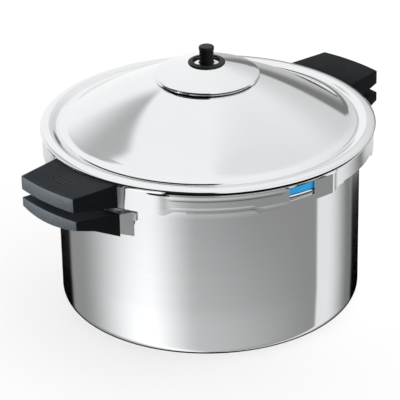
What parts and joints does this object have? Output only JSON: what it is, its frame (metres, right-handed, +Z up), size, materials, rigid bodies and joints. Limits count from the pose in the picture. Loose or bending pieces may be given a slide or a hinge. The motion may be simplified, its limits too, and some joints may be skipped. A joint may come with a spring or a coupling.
{
  "type": "pressure cooker",
  "caption": "Large stovetop pressure cooker with a domed bayonet lid, black side grips, a blue sealing ring and a spring pressure indicator under a lift-off valve cover.",
  "frame": {"origin": "on the pot's axis, in the plane that the base stands on", "axes": "+Z up along the pot's axis, X along the line through the two grips, the lid's window shows towards -Y"},
  "size_m": [0.4, 0.3122, 0.2523],
  "materials": {
    "polished_steel": "mirror polished stainless steel",
    "satin_steel": "satin stainless steel",
    "core_aluminium": "plain rolled aluminium",
    "spring_steel": "drawn wire",
    "grip_black": "fine grained black thermoset plastic",
    "valve_black": "smooth satin black plastic",
    "gasket_blue": "matt blue silicone",
    "seal_rubber": "matt black rubber",
    "membrane_red": "matt red silicone",
    "mark_red": "red plastic"
  },
  "bodies": {
    "pot": {"pot_shell": "polished_steel", "pot_flange": "polished_steel", "base_core": "core_aluminium", "base_cap": "satin_steel", "pot_bracket_left": "polished_steel", "pot_bracket_right": "polished_steel", "pot_grip_left": "grip_black", "pot_grip_right": "grip_black", "pot_grip_screw_left": "satin_steel", "pot_grip_screw_right": "satin_steel"},
    "sealing_ring": {"gasket": "gasket_blue"},
    "lid": {"lid_shell": "polished_steel", "lid_bracket_left": "polished_steel", "lid_bracket_right": "polished_steel", "lid_grip_left": "grip_black", "lid_grip_right": "grip_black", "lid_grip_screw_left": "satin_steel", "lid_grip_screw_right": "satin_steel", "valve_body": "polished_steel", "valve_nut": "satin_steel", "valve_seal": "seal_rubber", "valve_membrane": "membrane_red"},
    "cover": {"valve_cover": "polished_steel", "cover_ring": "valve_black"},
    "indicator": {"indicator_stem": "valve_black", "low_pressure_mark": "mark_red", "high_pressure_mark": "mark_red", "stem_clip": "spring_steel", "indicator_spring": "spring_steel"}
  },
  "joints": [
    {"name": "lid_lift", "type": "slide", "parent": "pot", "child": "sealing_ring", "axis": [0, 0, 1], "range_m": [0, 0.12]},
    {"name": "lid_turn", "type": "hinge", "parent": "sealing_ring", "child": "lid", "pos_m": [0, 0, 0.1644], "axis": [0, 0, 1], "range_deg": [0, 36]},
    {"name": "cover_lift", "type": "slide", "parent": "lid", "child": "cover", "axis": [0, 0, 1], "range_m": [0, 0.04]},
    {"name": "indicator_slide", "type": "slide", "parent": "lid", "child": "indicator", "axis": [0, 0, 1], "range_m": [-0.0025, 0.008], "stiffness_N_per_m": 300, "deforming": ["indicator_spring"]}
  ]
}
